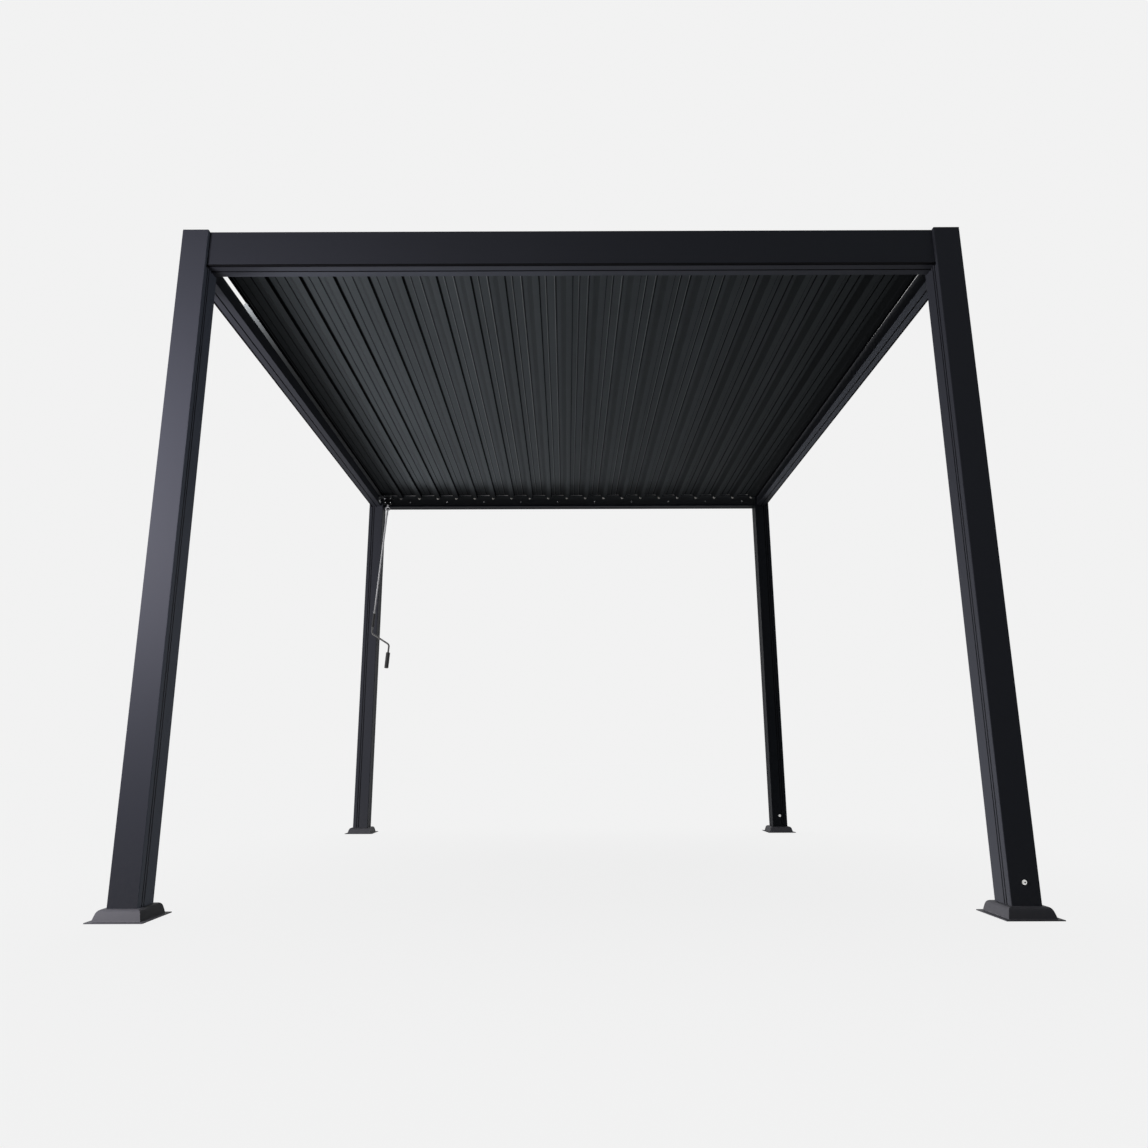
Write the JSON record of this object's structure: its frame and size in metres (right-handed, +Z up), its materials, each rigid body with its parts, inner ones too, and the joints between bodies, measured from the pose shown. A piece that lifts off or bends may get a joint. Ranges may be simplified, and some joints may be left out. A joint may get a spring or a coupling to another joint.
{
  "type": "louvered pergola",
  "caption": "Square free-standing garden pergola: posts, gutter beams and a roof of turning louvres worked by a hand crank.",
  "frame": {"origin": "middle of the footprint at ground level", "axes": "+Z up, +X right, +Y to the back; louvres run along Y"},
  "size_m": [3.086, 3.086, 2.51],
  "materials": {
    "frame_paint": "satin anthracite powder coat",
    "louvre_paint": "satin anthracite powder coat on a ribbed extrusion",
    "cover_paint": "satin anthracite powder coat on a pressed cover",
    "foot_steel": "galvanised steel plate",
    "rail_metal": "dark anodised flat bar",
    "link_steel": "zinc-plated flat steel",
    "gear_case": "cast case, dark paint",
    "crank_metal": "pale grey painted rod",
    "grip_plastic": "black moulded plastic",
    "drain_steel": "bright stainless steel"
  },
  "bodies": {
    "frame": {"post_front_left": "frame_paint", "post_front_right": "frame_paint", "post_back_left": "frame_paint", "post_back_right": "frame_paint", "beam_front": "frame_paint", "beam_back": "frame_paint", "beam_left": "frame_paint", "beam_right": "frame_paint", "post_caps": "frame_paint", "foot_plates": "foot_steel", "foot_covers": "cover_paint", "drain_outlets": "drain_steel", "pivot_rail_front": "rail_metal", "pivot_rail_back": "rail_metal", "gearbox": "gear_case", "gearbox_plate": "link_steel"},
    "louvre_01": {"louvre_01": "louvre_paint"},
    "louvre_02": {"louvre_02": "louvre_paint"},
    "louvre_03": {"louvre_03": "louvre_paint"},
    "louvre_04": {"louvre_04": "louvre_paint"},
    "louvre_05": {"louvre_05": "louvre_paint"},
    "louvre_06": {"louvre_06": "louvre_paint"},
    "louvre_07": {"louvre_07": "louvre_paint"},
    "louvre_08": {"louvre_08": "louvre_paint"},
    "louvre_09": {"louvre_09": "louvre_paint"},
    "louvre_10": {"louvre_10": "louvre_paint"},
    "louvre_11": {"louvre_11": "louvre_paint"},
    "louvre_12": {"louvre_12": "louvre_paint"},
    "louvre_13": {"louvre_13": "louvre_paint"},
    "louvre_14": {"louvre_14": "louvre_paint"},
    "louvre_15": {"louvre_15": "louvre_paint"},
    "louvre_16": {"louvre_16": "louvre_paint"},
    "louvre_17": {"louvre_17": "louvre_paint"},
    "louvre_18": {"louvre_18": "louvre_paint"},
    "louvre_19": {"louvre_19": "louvre_paint"},
    "louvre_20": {"louvre_20": "louvre_paint"},
    "tie_bar": {"tie_bar": "link_steel"},
    "drive_arm": {"drive_arm": "link_steel"},
    "crank": {"crank_rod": "crank_metal", "crank_grips": "grip_plastic"}
  },
  "joints": [
    {"name": "louvre_01_turn", "type": "hinge", "parent": "frame", "child": "louvre_01", "pos_m": [-1.266, 0, 2.426], "axis": [0, 1, 0], "range_deg": [0, 90]},
    {"name": "louvre_02_turn", "type": "hinge", "parent": "frame", "child": "louvre_02", "pos_m": [-1.127, 0, 2.426], "axis": [0, 1, 0], "range_deg": [0, 90]},
    {"name": "louvre_03_turn", "type": "hinge", "parent": "frame", "child": "louvre_03", "pos_m": [-0.988, 0, 2.426], "axis": [0, 1, 0], "range_deg": [0, 90]},
    {"name": "louvre_04_turn", "type": "hinge", "parent": "frame", "child": "louvre_04", "pos_m": [-0.849, 0, 2.426], "axis": [0, 1, 0], "range_deg": [0, 90]},
    {"name": "louvre_05_turn", "type": "hinge", "parent": "frame", "child": "louvre_05", "pos_m": [-0.71, 0, 2.426], "axis": [0, 1, 0], "range_deg": [0, 90]},
    {"name": "louvre_06_turn", "type": "hinge", "parent": "frame", "child": "louvre_06", "pos_m": [-0.571, 0, 2.426], "axis": [0, 1, 0], "range_deg": [0, 90]},
    {"name": "louvre_07_turn", "type": "hinge", "parent": "frame", "child": "louvre_07", "pos_m": [-0.432, 0, 2.426], "axis": [0, 1, 0], "range_deg": [0, 90]},
    {"name": "louvre_08_turn", "type": "hinge", "parent": "frame", "child": "louvre_08", "pos_m": [-0.293, 0, 2.426], "axis": [0, 1, 0], "range_deg": [0, 90]},
    {"name": "louvre_09_turn", "type": "hinge", "parent": "frame", "child": "louvre_09", "pos_m": [-0.154, 0, 2.426], "axis": [0, 1, 0], "range_deg": [0, 90]},
    {"name": "louvre_10_turn", "type": "hinge", "parent": "frame", "child": "louvre_10", "pos_m": [-0.015, 0, 2.426], "axis": [0, 1, 0], "range_deg": [0, 90]},
    {"name": "louvre_11_turn", "type": "hinge", "parent": "frame", "child": "louvre_11", "pos_m": [0.124, 0, 2.426], "axis": [0, 1, 0], "range_deg": [0, 90]},
    {"name": "louvre_12_turn", "type": "hinge", "parent": "frame", "child": "louvre_12", "pos_m": [0.263, 0, 2.426], "axis": [0, 1, 0], "range_deg": [0, 90]},
    {"name": "louvre_13_turn", "type": "hinge", "parent": "frame", "child": "louvre_13", "pos_m": [0.402, 0, 2.426], "axis": [0, 1, 0], "range_deg": [0, 90]},
    {"name": "louvre_14_turn", "type": "hinge", "parent": "frame", "child": "louvre_14", "pos_m": [0.541, 0, 2.426], "axis": [0, 1, 0], "range_deg": [0, 90]},
    {"name": "louvre_15_turn", "type": "hinge", "parent": "frame", "child": "louvre_15", "pos_m": [0.68, 0, 2.426], "axis": [0, 1, 0], "range_deg": [0, 90]},
    {"name": "louvre_16_turn", "type": "hinge", "parent": "frame", "child": "louvre_16", "pos_m": [0.819, 0, 2.426], "axis": [0, 1, 0], "range_deg": [0, 90]},
    {"name": "louvre_17_turn", "type": "hinge", "parent": "frame", "child": "louvre_17", "pos_m": [0.958, 0, 2.426], "axis": [0, 1, 0], "range_deg": [0, 90]},
    {"name": "louvre_18_turn", "type": "hinge", "parent": "frame", "child": "louvre_18", "pos_m": [1.097, 0, 2.426], "axis": [0, 1, 0], "range_deg": [0, 90]},
    {"name": "louvre_19_turn", "type": "hinge", "parent": "frame", "child": "louvre_19", "pos_m": [1.236, 0, 2.426], "axis": [0, 1, 0], "range_deg": [0, 90]},
    {"name": "louvre_20_turn", "type": "hinge", "parent": "frame", "child": "louvre_20", "pos_m": [1.375, 0, 2.426], "axis": [0, 1, 0], "range_deg": [0, 90]},
    {"name": "tie_bar_turn", "type": "hinge", "parent": "louvre_01", "child": "tie_bar", "pos_m": [-1.3, 1.3935, 2.445], "axis": [0, 1, 0], "range_deg": [-90, 0]},
    {"name": "drive_arm_turn", "type": "hinge", "parent": "frame", "child": "drive_arm", "pos_m": [-1.35, 1.3895, 2.392], "axis": [0, 1, 0], "range_deg": [0, 90]},
    {"name": "crank_turn", "type": "hinge", "parent": "frame", "child": "crank", "pos_m": [-1.35, 1.361, 2.367], "axis": [0.0412, 0.1281, 0.9909], "range_deg": [0, 1800]}
  ],
  "couplings": [
    {"joint": "louvre_02_turn", "follows": "louvre_01_turn", "ratio": 1},
    {"joint": "louvre_03_turn", "follows": "louvre_01_turn", "ratio": 1},
    {"joint": "louvre_04_turn", "follows": "louvre_01_turn", "ratio": 1},
    {"joint": "louvre_05_turn", "follows": "louvre_01_turn", "ratio": 1},
    {"joint": "louvre_06_turn", "follows": "louvre_01_turn", "ratio": 1},
    {"joint": "louvre_07_turn", "follows": "louvre_01_turn", "ratio": 1},
    {"joint": "louvre_08_turn", "follows": "louvre_01_turn", "ratio": 1},
    {"joint": "louvre_09_turn", "follows": "louvre_01_turn", "ratio": 1},
    {"joint": "louvre_10_turn", "follows": "louvre_01_turn", "ratio": 1},
    {"joint": "louvre_11_turn", "follows": "louvre_01_turn", "ratio": 1},
    {"joint": "louvre_12_turn", "follows": "louvre_01_turn", "ratio": 1},
    {"joint": "louvre_13_turn", "follows": "louvre_01_turn", "ratio": 1},
    {"joint": "louvre_14_turn", "follows": "louvre_01_turn", "ratio": 1},
    {"joint": "louvre_15_turn", "follows": "louvre_01_turn", "ratio": 1},
    {"joint": "louvre_16_turn", "follows": "louvre_01_turn", "ratio": 1},
    {"joint": "louvre_17_turn", "follows": "louvre_01_turn", "ratio": 1},
    {"joint": "louvre_18_turn", "follows": "louvre_01_turn", "ratio": 1},
    {"joint": "louvre_19_turn", "follows": "louvre_01_turn", "ratio": 1},
    {"joint": "louvre_20_turn", "follows": "louvre_01_turn", "ratio": 1},
    {"joint": "tie_bar_turn", "follows": "louvre_01_turn", "ratio": -1},
    {"joint": "drive_arm_turn", "follows": "louvre_01_turn", "ratio": 1},
    {"joint": "crank_turn", "follows": "louvre_01_turn", "ratio": 20}
  ]
}
